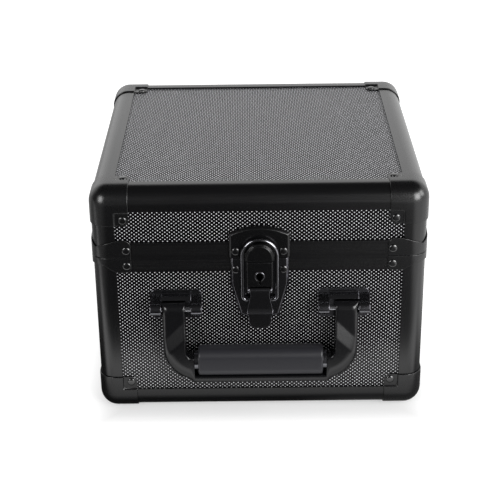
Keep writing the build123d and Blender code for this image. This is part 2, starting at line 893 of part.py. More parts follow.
with BuildPart() as handle_pins:
    for side in (-1, 1):
        with BuildSketch(side_plane(side * bracket_x + bracket_half_w)):
            with Locations((handle_pin_out, handle_pin_rise)):
                Circle(handle_pin_r)
        extrude(amount=2 * bracket_half_w)
keep(handle_pins.part, "handle_pins")

# Handle frame: a moulded U with bulged corners, ramped down to a strap below each pin

with BuildPart() as handle_frame:
    with BuildSketch(front_plane(arm_back_out)) as outline:
        with BuildLine():
            Line((arm_out_x, handle_pin_rise), (arm_out_x, handle_bottom_rise + handle_corner_r))
            CenterArc(
                (arm_out_x - handle_corner_r, handle_bottom_rise + handle_corner_r),
                handle_corner_r,
                0,
                -90,
            )
            Line(
                (arm_out_x - handle_corner_r, handle_bottom_rise),
                (handle_corner_r - arm_out_x, handle_bottom_rise),
            )
            CenterArc(
                (handle_corner_r - arm_out_x, handle_bottom_rise + handle_corner_r),
                handle_corner_r,
                270,
                -90,
            )
            Polyline(
                (-arm_out_x, handle_bottom_rise + handle_corner_r),
                (-arm_out_x, handle_pin_rise),
                (-arm_in_x, handle_pin_rise),
                (-arm_in_x, shoulder_slope_rise),
                (-shoulder_slope_x, shoulder_top_rise),
                (-shoulder_x, shoulder_top_rise),
                (-shoulder_x, bar_top_rise),
                (shoulder_x, bar_top_rise),
                (shoulder_x, shoulder_top_rise),
                (shoulder_slope_x, shoulder_top_rise),
                (arm_in_x, shoulder_slope_rise),
                (arm_in_x, handle_pin_rise),
                (arm_out_x, handle_pin_rise),
            )
        make_face()
    extrude(amount=bulge_out - arm_back_out)
    bar_mid_z = seam_z + (handle_bottom_rise + bar_top_rise) / 2
    outer_edges = []
    for edge in handle_frame.faces().sort_by(Axis.Y)[0].edges():
        middle = edge.center()
        if abs(middle.X) > arm_out_x - handle_edge_r or middle.Z < bar_mid_z:
            outer_edges.append(edge)
    fillet(outer_edges, handle_edge_r)
    # above a slanting line each arm ramps back to its strap
    for side in (-1, 1):
        top = Vector(side * arm_in_x, front_y - strap_out, seam_z + ramp_in_rise)
        foot = Vector(side * arm_out_x, front_y - strap_out, seam_z + ramp_out_rise)
        with BuildSketch(Plane(origin=top, x_dir=(0, -1, 0), z_dir=foot - top)):
            with BuildLine():
                uphill = -side * handle_corner_r
                Polyline(
                    (0, 0),
                    (0, uphill),
                    (handle_corner_r, uphill),
                    (handle_corner_r, side * ramp_reach * handle_corner_r / (bulge_out - strap_out)),
                    close=True,
                )
            make_face()
        extrude(amount=handle_corner_r, both=True, mode=Mode.SUBTRACT)
    for head_x in (-arm_in_x, arm_out_x):
        with BuildSketch(side_plane(head_x)):
            with Locations((handle_pin_out, handle_pin_rise)):
                Circle(arm_head_r)
        extrude(amount=arm_out_x - arm_in_x)
    with BuildSketch(side_plane(arm_out_x)):
        with Locations((handle_pin_out, handle_pin_rise)):
            Circle(handle_pin_r + turn_fit)
    extrude(amount=2 * arm_out_x, mode=Mode.SUBTRACT)
    with BuildSketch(side_plane(core_half_l)):
        with Locations((grip_out, grip_rise)):
            Circle(core_r + core_fit)
    extrude(amount=2 * core_half_l, mode=Mode.SUBTRACT)
keep(handle_frame.part, "handle_frame")

with BuildPart() as handle_core_rod:
    with BuildSketch(side_plane(core_half_l)):
        with Locations((grip_out, grip_rise)):
            Circle(core_r)
    extrude(amount=2 * core_half_l)
keep(handle_core_rod.part, "handle_core_rod")

# Grip: a moulded sleeve round the core rod

with BuildPart() as handle_grip:
    with BuildSketch(side_plane(grip_half_l)):
        with Locations((grip_out, grip_rise)):
            RectangleRounded(2 * grip_half_t, 2 * grip_half_h, grip_round)
    extrude(amount=2 * grip_half_l)
    chamfer(handle_grip.faces().filter_by(Axis.X).edges(), grip_end_round)
    with BuildSketch(side_plane(grip_half_l)):
        with Locations((grip_out, grip_rise)):
            Circle(core_r + core_fit)
    extrude(amount=2 * grip_half_l, mode=Mode.SUBTRACT)
keep(handle_grip.part, "handle_grip")


# Hinges: leaves riveted to the back rims, with one lid knuckle between two base knuckles

hinge_axis_y = back_y + hinge_out


def hinge_leaf(centre_x, up):
    """The lid's leaf when up is 1, the base's when it is -1."""
    leaf_low, leaf_high = sorted((seam_z + up * hinge_leaf_near, seam_z + up * hinge_leaf_far))
    leaf_back = back_y - rail_inset
    if up > 0:
        knuckles = [(-hinge_knuckle_half_w, hinge_knuckle_half_w)]
    else:
        inner = hinge_knuckle_half_w + hinge_axial_gap
        knuckles = [(-hinge_half_w, -inner), (inner, hinge_half_w)]
    with BuildPart() as leaf:
        add(
            board(
                (centre_x - hinge_half_w, leaf_back, leaf_low),
                (centre_x + hinge_half_w, leaf_back + hinge_leaf_t, leaf_high),
            )
        )
        for start, end in knuckles:
            at = Plane(
                origin=(centre_x + start, hinge_axis_y, seam_z), x_dir=(0, 1, 0), z_dir=(1, 0, 0)
            )
            with BuildSketch(at):
                Circle(knuckle_r)
                with BuildLine():
                    Polyline(
                        (0, up * knuckle_r),
                        (leaf_back - hinge_axis_y, up * knuckle_r),
                        (leaf_back - hinge_axis_y, up * hinge_leaf_near),
                        (0, up * hinge_leaf_near),
                        close=True,
                    )
                make_face()
                Circle(hinge_pin_r + turn_fit, mode=Mode.SUBTRACT)
            extrude(amount=end - start)
    return leaf.part


for part_name, up in (("base", -1), ("lid", 1)):
    with BuildPart() as leaves:
        add(hinge_leaf(-hinge_x, up))
        add(hinge_leaf(hinge_x, up))
    keep(leaves.part, f"hinge_{part_name}_leaves")

with BuildPart() as hinge_pins:
    for side in (-1, 1):
        at = Plane(
            origin=(side * hinge_x - hinge_half_w, hinge_axis_y, seam_z),
            x_dir=(0, 1, 0),
            z_dir=(1, 0, 0),
        )
        with BuildSketch(at):
            Circle(hinge_pin_r)
        extrude(amount=2 * hinge_half_w)
keep(hinge_pins.part, "hinge_pins")
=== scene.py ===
# %% [markdown]
# # A lockable case for graded card slabs
# The case is boards held in black edge extrusions, with pressed corners, a loop latch, a drop
# handle and two hinges. Its solids come in already measured and placed, and everything below
# gives them their finish or lays a finer piece over them. We begin by loading them, and by
# noting the box they fill, because the finished case has to stay inside it.

# %% Load the measured case
import json
import math

import bmesh
import bpy
from mathutils import Matrix, Vector

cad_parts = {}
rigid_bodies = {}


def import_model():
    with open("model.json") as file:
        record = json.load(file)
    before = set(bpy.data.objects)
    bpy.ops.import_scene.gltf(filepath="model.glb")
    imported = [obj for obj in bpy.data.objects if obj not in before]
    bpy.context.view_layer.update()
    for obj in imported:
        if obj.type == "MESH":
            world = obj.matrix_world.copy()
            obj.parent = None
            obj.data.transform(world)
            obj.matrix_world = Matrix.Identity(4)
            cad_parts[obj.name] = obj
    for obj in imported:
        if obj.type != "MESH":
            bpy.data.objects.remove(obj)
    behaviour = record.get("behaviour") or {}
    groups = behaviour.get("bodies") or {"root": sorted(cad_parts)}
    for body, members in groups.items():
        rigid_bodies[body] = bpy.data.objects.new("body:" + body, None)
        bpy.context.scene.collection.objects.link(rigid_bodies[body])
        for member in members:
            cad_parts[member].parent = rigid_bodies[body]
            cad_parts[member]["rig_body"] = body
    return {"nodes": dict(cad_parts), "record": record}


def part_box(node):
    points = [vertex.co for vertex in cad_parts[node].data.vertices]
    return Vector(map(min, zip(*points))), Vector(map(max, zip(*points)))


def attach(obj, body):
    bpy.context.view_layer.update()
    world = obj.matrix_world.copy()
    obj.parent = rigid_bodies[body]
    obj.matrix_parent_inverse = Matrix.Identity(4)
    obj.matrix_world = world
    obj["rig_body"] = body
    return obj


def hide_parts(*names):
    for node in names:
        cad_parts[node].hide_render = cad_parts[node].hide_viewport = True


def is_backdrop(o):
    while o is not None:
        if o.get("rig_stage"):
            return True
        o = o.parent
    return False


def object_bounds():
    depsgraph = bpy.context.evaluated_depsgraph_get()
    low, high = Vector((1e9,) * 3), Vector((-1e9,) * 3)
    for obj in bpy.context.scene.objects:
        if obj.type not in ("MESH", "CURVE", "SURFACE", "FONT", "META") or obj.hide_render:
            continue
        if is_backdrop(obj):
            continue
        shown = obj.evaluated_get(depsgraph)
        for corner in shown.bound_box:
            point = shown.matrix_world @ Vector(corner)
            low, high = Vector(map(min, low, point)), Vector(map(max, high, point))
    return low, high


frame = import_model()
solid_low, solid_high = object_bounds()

nodes = frame["nodes"]
print("box in mm:", [round(1000 * v) for v in (solid_high - solid_low)])

# %% [markdown]
# ## Units, colours and nodes
# Blender measures in metres and shades in linear light, while this case is thought of in
# millimetres and in the sRGB colours that a screen shows. So lengths are written times MM, and
# one small function turns a colour into linear light. Another adds a shader node with its
# settings and links in one line, and a third starts a material, so that each finish below reads
# as a short list.

# %% Millimetres, linear colours and one way to add a node
MM = 0.001


def linear(hex_colour):
    """The linear colour of an sRGB hex value such as 1b1b1e, opaque."""
    channels = [int(hex_colour[i : i + 2], 16) / 255 for i in (0, 2, 4)]
    return [c / 12.92 if c <= 0.04045 else ((c + 0.055) / 1.055) ** 2.4 for c in channels] + [1.0]


def add_node(tree, kind, inputs=(), **settings):
    """One node, its inputs given as values or as the sockets that feed them."""
    made = tree.nodes.new(kind)
    for name, value in settings.items():
        setattr(made, name, value)
    for socket, value in dict(inputs).items():
        if isinstance(value, bpy.types.NodeSocket):
            tree.links.new(value, made.inputs[socket])
        else:
            made.inputs[socket].default_value = value
    return made


def new_material(name, **shader):
    """A material with one Principled shader, whose uniform values sit on its own sockets."""
    material = bpy.data.materials.new(name)
    material.use_nodes = True
    tree = material.node_tree
    principled = tree.nodes["Principled BSDF"]
    for setting, value in shader.items():
        socket = setting.replace("_", " ").title().replace("Ior", "IOR")
        principled.inputs[socket].default_value = value
    return material, tree, principled


print("a mid grey on screen, 808080, is", round(linear("808080")[0], 3), "in linear light")

# %% [markdown]
# ## The camera
# The case is seen from the front and about 25 degrees above, through a long lens, which keeps
# its upright edges almost parallel. The camera's place and its three axes were solved from the
# eight corners of the case, so they are written down as numbers rather than aimed by eye.

# %% Stand the camera where the case is seen from
camera_place = Vector((-5.27, -968.68, 540.39)) * MM
camera_right = Vector((0.99993627, -0.00340058, -0.01076545))
camera_up = Vector((0.01118002, 0.43090058, 0.90233015))
lens_mm = 95.86
sensor_mm = 36.0

camera_data = bpy.data.cameras.new("camera")
camera_data.sensor_width = sensor_mm
camera_data.lens = lens_mm
camera_data.clip_start = 0.01
camera_data.clip_end = 50.0
camera = bpy.data.objects.new("camera", camera_data)
bpy.context.scene.collection.objects.link(camera)
axes = Matrix((camera_right, camera_up, camera_right.cross(camera_up))).transposed()
camera.matrix_world = Matrix.Translation(camera_place) @ axes.to_4x4()
bpy.context.scene.camera = camera
print("field of view:", round(math.degrees(2 * math.atan(sensor_mm / 2 / lens_mm)), 1), "degrees")

# %% [markdown]
# ## Room and floor
# Black gloss shows little of its own colour: what we see on it is the room. So the room matters
# as much as the finishes. It is white behind the case and to its right, which turns the lid grey
# in reflection, and dark overhead, on the left and in front, which keeps the front black. The
# floor follows it: a reflection sees it pale on the right, behind and close in front of the
# case, dim on the left, and dark further in front. The eye sees it white all over, with the
# case's soft shadow, deepened close round the case by a painted shadow in the paper's glow.

# %% Small helpers for fading one value into another
scene = bpy.context.scene
scene.view_settings.view_transform = "Standard"


def fade(tree, value, start, end, low=0.0, high=1.0):
    """A smooth step from low to high as the value goes from start to end."""
    made = add_node(tree, "ShaderNodeMapRange", {0: value, 1: start, 2: end, 3: low, 4: high},
                    interpolation_type="SMOOTHSTEP")
    return made.outputs[0]


def maths(tree, operation, first, second=0.0):
    """The result of one sum on one or two values or sockets."""
    return add_node(tree, "ShaderNodeMath", {0: first, 1: second}, operation=operation).outputs[0]


# %% Lay the floor
floor_half = 6.0

floor_mesh = bpy.data.meshes.new("floor")
floor_bm = bmesh.new()
bmesh.ops.create_grid(floor_bm, x_segments=1, y_segments=1, size=floor_half)
floor_bm.to_mesh(floor_mesh)
floor_bm.free()
floor = bpy.data.objects.new("floor", floor_mesh)
scene.collection.objects.link(floor)
floor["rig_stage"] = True
print("floor spans", 2 * floor_half, "m")

# %% Paper that keeps the case's shadow and has pale zones in reflection
# Each zone is a fade: the places where it starts and ends, in metres, and its strength at both.
# The first zone dims the paper's own glow close round the case into a painted shadow.
painted_shadow_zone = (-0.02, 0.03, 0.4, 1.0)
near_right = (0.02, 0.08, 0.03, 0.15)
far_right = (0.15, 0.3)
far_right_strength = 1.1
far_left = (-0.17, -0.36, 0.03, 0.3)
towards_rear = (-0.05, 0.2, 0.0, 0.6)
front_starts = (-0.02, 0.01, 0.0, 1.0)
front_ends = (0.05, 0.085, 1.0, 0.0)
front_strength = (0.015, 0.05, 0.7, 1.4)

paper, tree, shader = new_material("floor_white_paper", roughness=0.9, specular_ior_level=0.1)
shader.inputs["Base Color"].default_value = linear("bcbcbc")
place = add_node(tree, "ShaderNodeTexCoord")
axis = add_node(tree, "ShaderNodeSeparateXYZ", {0: place.outputs["Object"]})
x, y = axis.outputs["X"], axis.outputs["Y"]
beyond_side = maths(tree, "SUBTRACT", maths(tree, "ABSOLUTE", x), solid_high.x)
beyond_front = maths(tree, "SUBTRACT", solid_low.y, y)
beyond_back = maths(tree, "SUBTRACT", y, solid_high.y)
away = maths(tree, "MAXIMUM", maths(tree, "MAXIMUM", beyond_side, beyond_front), beyond_back)

# The eye sees lit paper with a glow of its own, which is weaker under and close round the case: a painted
# shadow there, added to the real one.
path = add_node(tree, "ShaderNodeLightPath")
glow_with_painted_shadow = add_node(tree, "ShaderNodeEmission", {"Strength": fade(tree, away, *painted_shadow_zone)})
seen = maths(tree, "MAXIMUM", path.outputs["Is Camera Ray"], path.outputs["Is Transmission Ray"])
unlit = add_node(tree, "ShaderNodeEmission", {"Strength": 0.0})
glow = add_node(tree, "ShaderNodeMixShader", {0: seen, 1: unlit.outputs[0], 2: glow_with_painted_shadow.outputs[0]})
lit_paper = add_node(tree, "ShaderNodeAddShader", {0: shader.outputs[0], 1: glow.outputs[0]})

# A reflection sees the brightest of the zones at each place.
to_the_right = fade(tree, x, *far_right, fade(tree, x, *near_right), far_right_strength)
to_the_left = fade(tree, x, *far_left)
behind = fade(tree, y, *towards_rear)
in_front = maths(tree, "MULTIPLY", fade(tree, beyond_front, *front_starts),
                 fade(tree, beyond_front, *front_ends))
close_in_front = maths(tree, "MULTIPLY", fade(tree, away, *front_strength), in_front)
mirrored = maths(tree, "MAXIMUM", maths(tree, "MAXIMUM", to_the_right, to_the_left),
                 maths(tree, "MAXIMUM", behind, close_in_front))
in_gloss = add_node(tree, "ShaderNodeEmission", {"Strength": mirrored})
paper_seen = add_node(tree, "ShaderNodeMixShader",
                      {0: path.outputs["Is Glossy Ray"], 1: lit_paper.outputs[0], 2: in_gloss.outputs[0]})
tree.links.new(paper_seen.outputs[0], tree.nodes["Material Output"].inputs["Surface"])
floor.data.materials.append(paper)
print("the pale zone in front ends after", front_ends[1], "m")

# %% A room that is white behind, dark in front, and pale to the right of the front
# These fades start and end at a cosine from one direction, or at a height in the room.
soft_fill = 0.3
towards_back = (0.3, 0.95, 0.0)
room_back = (-0.35, 0.45, 0.0, 1.15)
room_top = (0.5, 0.78, 1.0, 0.0)
right_of_front = Vector((0.56, -0.8, 0.14)).normalized()
room_front = (0.84, 0.99, 0.04, 0.7)

world = bpy.data.worlds.new("room")
scene.world = world
world.use_nodes = True
tree = world.node_tree
way = add_node(tree, "ShaderNodeTexCoord").outputs["Generated"]
split = add_node(tree, "ShaderNodeSeparateXYZ", {0: way})
backwards = add_node(tree, "ShaderNodeVectorMath", {0: way, 1: towards_back}, operation="DOT_PRODUCT")
back_wall = maths(tree, "MULTIPLY", fade(tree, backwards.outputs["Value"], *room_back),
                  fade(tree, split.outputs["Z"], *room_top))
rightwards = add_node(tree, "ShaderNodeVectorMath", {0: way, 1: right_of_front}, operation="DOT_PRODUCT")
front_wall = fade(tree, rightwards.outputs["Value"], *room_front)
mirror_room = maths(tree, "MAXIMUM", back_wall, front_wall)
path = add_node(tree, "ShaderNodeLightPath")
in_gloss = add_node(tree, "ShaderNodeMix",
                    {0: path.outputs["Is Glossy Ray"], 2: soft_fill, 3: mirror_room}, data_type="FLOAT")
seen = maths(tree, "MAXIMUM", path.outputs["Is Camera Ray"], path.outputs["Is Transmission Ray"])
strength = add_node(tree, "ShaderNodeMix", {0: seen, 2: in_gloss.outputs[0], 3: 1.0}, data_type="FLOAT")
tree.links.new(strength.outputs[0], tree.nodes["Background"].inputs["Strength"])
tree.nodes["Background"].inputs["Color"].default_value = linear("ffffff")
print("soft fill from every side:", soft_fill)

# %% [markdown]
# Three soft boxes do the rest. Two stand in front, to the left and right, about 20 degrees up.
# The straight front edges can't mirror a lamp that stands aside, so they stay black, while the
# round corners and rivets each catch one in a soft spot, and the silver dots are lit evenly.
# A third stands further round to the right, for the handle's right ramp to mirror.

# %% Soft boxes in front and to the right


def soft_box(name, place, aim, size, watts):
    """A rectangular lamp in metres that faces a point."""
    lamp = bpy.data.lights.new(name, "AREA")
    lamp.shape = "RECTANGLE"
    lamp.size, lamp.size_y = size
    lamp.energy = watts
    box = bpy.data.objects.new(name, lamp)
    scene.collection.objects.link(box)
    box.location = place
    box.rotation_euler = (Vector(aim) - Vector(place)).to_track_quat("-Z", "Y").to_euler()


case_centre = (0, 0, 0.1)
soft_box("left_box", (-1.08, -1.3, 0.74), case_centre, (0.65, 0.9), 14)
soft_box("right_box", (1.05, -1.38, 0.68), case_centre, (0.9, 1.0), 27)
soft_box("side_box", (1.6, -0.58, 0.85), case_centre, (0.7, 0.8), 12)

# %% [markdown]
# ## Laminate boards
# The boards are fibreboard with a black laminate skin, printed with a lattice of small silver
# dots. Each dot is slightly sunk and partly metallic, so it is brighter on the side that the
# larger soft box lights, and brightest on the lid, where it mirrors the white room and its dots
# are painted paler. A lattice that staggers every other row is the product of two cosines, so no
# image is needed: the dots are where the product is near 1. For the lid and the floor the printed
# sheet is turned a quarter turn. The lid is seen at a low angle, where gloss hides a print, so
# this copy of the sheet has its dots painted wider and paler, a painted light on the same print,
# and its skin mirrors less.

# %% The dotted laminate
# The pitches, the grain and the depth of the dots are in millimetres.
dot_pitch_long = 3.35
dot_pitch_short = 2.76
dot_grain = 0.9
dot_depth = 0.12
dot_unevenness = 0.16
dot_metallic = 0.35
skin_roughness = 0.22
dot_roughness = 0.5


def dotted_laminate(name, long_axis, short_axis, dot_colour="e2e2e5", dot_edge=0.6, dot_middle=0.84,
                    ior=1.45):
    """Black laminate whose dots run along two of the object's axes."""
    material, tree, shader = new_material(name, ior=ior)
    place = add_node(tree, "ShaderNodeTexCoord")
    axis = add_node(tree, "ShaderNodeSeparateXYZ", {0: place.outputs["Object"]})
    waves = []
    for axis_name, pitch in ((long_axis, dot_pitch_long), (short_axis, dot_pitch_short)):
        turns = maths(tree, "MULTIPLY", axis.outputs[axis_name], 2 * math.pi / (pitch * MM))
        waves.append(maths(tree, "COSINE", turns))
    lattice = maths(tree, "MULTIPLY", *waves)
    grain = add_node(tree, "ShaderNodeTexNoise",
                     {"Vector": place.outputs["Object"], "Scale": 1 / (dot_grain * MM), "Detail": 2.0})
    uneven = add_node(tree, "ShaderNodeMath",
                      {0: grain.outputs["Fac"], 1: dot_unevenness, 2: -dot_unevenness / 2},
                      operation="MULTIPLY_ADD")
    dot = fade(tree, maths(tree, "ADD", lattice, uneven.outputs[0]), dot_edge, dot_middle)
    colour = add_node(tree, "ShaderNodeMix",
                      {0: dot, 6: linear("050506"), 7: linear(dot_colour)}, data_type="RGBA")
    tree.links.new(colour.outputs[2], shader.inputs["Base Color"])
    rough = add_node(tree, "ShaderNodeMapRange", {0: dot, 3: skin_roughness, 4: dot_roughness})
    tree.links.new(rough.outputs[0], shader.inputs["Roughness"])
    silver = add_node(tree, "ShaderNodeMapRange", {0: dot, 3: 0.0, 4: dot_metallic})
    tree.links.new(silver.outputs[0], shader.inputs["Metallic"])
    relief = add_node(tree, "ShaderNodeBump",
                      {"Height": dot, "Distance": dot_depth * MM, "Strength": 0.6}, invert=True)
    tree.links.new(relief.outputs[0], shader.inputs["Normal"])
    return material


front_laminate = dotted_laminate("dotted_laminate_front", "X", "Z")
side_laminate = dotted_laminate("dotted_laminate_side", "Y", "Z")
# The lid's and floor's copy of the print: dots painted wider and paler and a skin that mirrors less,
# painted light for the lid's low view.
flat_laminate_painted_paler = dotted_laminate("dotted_laminate_flat_painted_paler", "Y", "X", dot_colour="f0f0f5",
                                dot_edge=0.4, dot_middle=0.6, ior=1.2)
print("dots per square decimetre:", round(2 * 100 * 100 / dot_pitch_long / dot_pitch_short))

# %% [markdown]
# ## Black metals and plastics
# Everything else that shows is black, so the parts differ by their gloss and grain. One function
# makes them all. A fine noise at a real grain size shifts the colour, the roughness and the
# surface a little. Where a metal was pushed through a die or drawn, the noise is stretched along
# that way, and the surface gets the faint lines that spread a reflection across them.

# %% One function for the dark finishes
# Along the way that a metal was drawn, its grain is fifty times as long.
drawn_scale = 0.02


def dark_finish(name, darker, lighter, roughness, spread, grain_mm, relief_mm, drawn_along=None, **values):
    """A dark finish whose gloss varies over a fine grain, drawn out along one axis if named."""
    material, tree, shader = new_material(name, **values)
    place = add_node(tree, "ShaderNodeTexCoord")
    stretch = [drawn_scale if drawn_along == axis else 1.0 for axis in "XYZ"]
    drawn = add_node(tree, "ShaderNodeMapping", {"Vector": place.outputs["Object"], "Scale": stretch})
    grain = add_node(tree, "ShaderNodeTexNoise",
                     {"Vector": drawn.outputs[0], "Scale": 1 / (grain_mm * MM), "Detail": 3.0})
    tint = add_node(tree, "ShaderNodeMix",
                    {0: grain.outputs["Fac"], 6: linear(darker), 7: linear(lighter)}, data_type="RGBA")
    tree.links.new(tint.outputs[2], shader.inputs["Base Color"])
    rough = add_node(tree, "ShaderNodeMapRange",
                     {0: grain.outputs["Fac"], 3: roughness - spread, 4: roughness + spread})
    tree.links.new(rough.outputs[0], shader.inputs["Roughness"])
    relief = add_node(tree, "ShaderNodeBump",
                      {"Height": grain.outputs["Fac"], "Distance": relief_mm * MM, "Strength": 0.5})
    tree.links.new(relief.outputs[0], shader.inputs["Normal"])
    return material


# Extruded and black anodised: satin, with die lines along each length, and a hard clear oxide
# skin that turns pale at a low angle, which is why the lid's edges look grey from the front.
anodised = {
    axis: dark_finish(f"black_anodised_aluminium_{axis.lower()}", "060607", "0a0a0b", 0.25, 0.04,
                      0.6, 0.008, drawn_along=axis, ior=1.6)
    for axis in "XYZ"
}
# Deep drawn sheet under a thick gloss enamel: smooth, with soft round highlights.
pressed = dark_finish("black_enamelled_pressed_steel", "060607", "0a0a0b", 0.28, 0.03, 1.2, 0.006, ior=1.6)
# Black nickel is a dark metal itself: flat faces mirror the dark front and look black, while
# every rounded edge finds something pale to the side and turns into a bright line.
plated = dark_finish("black_nickel_plated_steel", "68686c", "78787c", 0.2, 0.04, 0.6, 0.006, metallic=1.0)
# Die cast zinc under the same enamel: as smooth, but it mirrors a little less at a low angle.
casting = dark_finish("black_enamelled_zinc_casting", "050506", "09090a", 0.26, 0.04, 0.7, 0.01, ior=1.45)
# Drawn wire in the same black nickel, polished by use: a bright line runs down each side.
wire = dark_finish("black_nickel_plated_wire", "86868a", "98989c", 0.14, 0.03, 0.6, 0.003, metallic=1.0)
# Rivet heads are headed cold and enamelled with the plates: glossy, with soft crescents.
rivet_paint = dark_finish("black_enamelled_rivet", "060607", "0b0b0c", 0.17, 0.03, 0.6, 0.003, ior=1.9)
# Bright nickel on the pins: a clear mirror with a little haze.
steel = dark_finish("bright_nickel_plated_steel", "b4b4b8", "cacace", 0.2, 0.05, 0.5, 0.004, metallic=1.0)
# The plug is turned and nickel plated, and dulled by use: a grey ring round the keyhole.
plug_metal = dark_finish("turned_nickel_lock_plug", "6e6e72", "85858a", 0.24, 0.05, 0.4, 0.006,
                         metallic=1.0)
# Moulded ABS inside the corners: matt from a sparked mould.
moulded_abs = dark_finish("black_moulded_abs", "0f0f10", "151517", 0.5, 0.05, 0.6, 0.02, ior=1.5)
# The handle's ABS comes from a polished mould: satin gloss, darker than the grip.
handle_abs = dark_finish("black_satin_abs", "0a0a0b", "0f0f11", 0.22, 0.04, 0.9, 0.006, ior=1.5)
# The grip is a soft elastomer sleeve: greyer, and its highlights are broad and dim.
grip_rubber = dark_finish("soft_grip_elastomer", "1d1d21", "242428", 0.38, 0.05, 0.5, 0.015, ior=1.5)
# Cut sheets of closed-cell foam: open cells on the cut face make it quite matt.
foam = dark_finish("black_eva_foam", "101011", "1c1c1e", 0.9, 0.05, 1.2, 0.3, ior=1.4)
print("finishes:", len(bpy.data.materials))

# %% [markdown]
# ## Which finish goes where
# The record names a material slot for every solid, so one table carries the finishes over. Boards
# take the laminate that faces their way, and an extrusion takes the drawing direction of its
# longest side, which its box gives.

# %% Give every solid its finish
slot_of_node = {row["node"]: row["material_slot"] for row in frame["record"]["subparts"]}
finish_of_slot = {
    "black_pressed_steel": pressed, "black_plated_steel": plated, "black_casting": casting,
    "black_wire": wire, "black_rivet": rivet_paint, "bright_steel": steel, "lock_plug": plug_metal,
    "moulded_connector": moulded_abs, "moulded_handle": handle_abs, "soft_grip": grip_rubber,
    "lining_foam": foam,
}


def longest_axis(name):
    """The axis along which a solid is longest; the posts of one group all stand upright."""
    low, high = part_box(name)
    size = high - low
    return "Z" if name.endswith("posts") else "XYZ"[max(range(3), key=lambda axis: size[axis])]


def finish_of(name):
    """The finish that a solid takes from its slot and the way it faces."""
    slot = slot_of_node[name]
    if slot == "textured_board":
        if "bottom" in name or "top" in name:
            return flat_laminate_painted_paler
        return side_laminate if "left" in name or "right" in name else front_laminate
    return anodised[longest_axis(name)] if slot == "black_anodised" else finish_of_slot[slot]


for name, solid in nodes.items():
    solid.data.materials.clear()
    solid.data.materials.append(finish_of(name))
print("finished solids:", len(nodes))

# %% [markdown]
# ## Edges that catch the light
# Real sheet metal and castings have no knife edges. Each edge is a thin rounded line, and on
# black parts these lines are most of what we see. So each solid with a right shape gets a finer
# double: a copy of its mesh is welded, its flat faces are joined again, and its sharp edges are
# bevelled by their real radius. The double rides where the solid does and stands for it.

# %% Helpers for pieces that stand for solids
weld = 0.001 * MM
flat_within = math.radians(0.5)
rounded = math.radians(32)
square_edge = math.radians(50)


def object_of(name, bm, finish, shade_sharp=rounded):
    """An object from a bmesh, smooth between its sharp edges."""
    mesh = bpy.data.meshes.new(name)
    bm.to_mesh(mesh)
    bm.free()
    mesh.materials.append(finish)
    mesh.shade_smooth()
    mesh.set_sharp_from_angle(angle=shade_sharp)
    piece = bpy.data.objects.new(name, mesh)
    scene.collection.objects.link(piece)
    return piece


def shown(name, bm, finish, *stands_for, shade_sharp=rounded):
    """A finer piece that rides where its solids do and stands for them."""
    piece = object_of(name, bm, finish, shade_sharp)
    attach(piece, nodes[stands_for[0]]["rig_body"])
    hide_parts(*stands_for)
    return piece


def even_shading(piece):
    """Large faces keep their own normal, and the bevels between them turn from one to the next."""
    weighted = piece.modifiers.new("even_shading", "WEIGHTED_NORMAL")
    weighted.keep_sharp = True
    weighted.weight = 100


def bevel(bm, geom, offset, segments, affect="EDGES", clamp_overlap=False):
    """Round some edges, or some corners if affect says VERTICES."""
    bmesh.ops.bevel(bm, geom=geom, offset=offset, segments=segments, profile=0.5, affect=affect,
                    clamp_overlap=clamp_overlap, material=-1)


def welded(name):
    """A solid's mesh with its loose triangles welded and its flat faces joined."""
    bm = bmesh.new()
    bm.from_mesh(nodes[name].data)
    bmesh.ops.remove_doubles(bm, verts=bm.verts, dist=weld)
    bmesh.ops.dissolve_limit(bm, angle_limit=flat_within, verts=bm.verts, edges=bm.edges)
    return bm


def softened(name, radius_mm, segments=2):
    """The finer double of a solid, its sharp edges bevelled."""
    bm = welded(name)
    sharp = [e for e in bm.edges if e.is_manifold and e.calc_face_angle() > rounded]
    bevel(bm, sharp, radius_mm * MM, segments)
    even_shading(shown(f"{name}_finished", bm, finish_of(name), name, shade_sharp=square_edge))


# %% Rails, posts and rims with softened edges
# The radii are in millimetres.
rail_edge = 0.3
rim_edge = 0.18
for part in ("base", "lid"):
    for side in ("front", "back", "left", "right"):
        softened(f"{part}_{side}_rail", rail_edge)
        softened(f"{part}_{side}_rim", rim_edge, segments=1)
    softened(f"{part}_corner_posts", rail_edge)
print("extrusions softened")

# %% [markdown]
# ## Ball corners
# A ball corner is pressed from one sheet: three flanges round a ball, with a small square tab
# joggled down to each board. It starts as a cube in the corner x, y, z > 0, of which only the
# three outer faces are kept. Bevelling their three edges makes the ball. Cuts mark the tabs,
# the tabs are sunk, and a wall is given inwards. Seven mirror images finish the set.

# %% Shape one ball corner and mirror it round the case
case_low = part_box("base_ball_corners")[0]
case_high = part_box("lid_ball_corners")[1]
case_middle = (case_low + case_high) / 2
corner_reach = 28.5 * MM
ball_radius = 13.0 * MM
ball_steps = 10
post_reach = 18.0 * MM
sheet = 0.9 * MM
sheet_edge = 0.42 * MM
tab_depth = 1.3 * MM
tab_cut = 3.0 * MM


def direction(axis):
    """The unit vector along an axis."""
    return Vector([float(axis == other) for other in range(3)])


def everything(bm):
    """All of a bmesh, as most operators want it."""
    return bm.verts[:] + bm.edges[:] + bm.faces[:]


def only(kind, geom):
    """The vertices or the faces among mixed elements."""
    return [g for g in geom if isinstance(g, kind)]


def cut(bm, point, normal, clear=False):
    """Cut all of a bmesh by a plane, and take away what is in front of it if asked."""
    bmesh.ops.bisect_plane(bm, geom=everything(bm), plane_co=point, plane_no=normal,
                           clear_outer=clear, dist=weld)


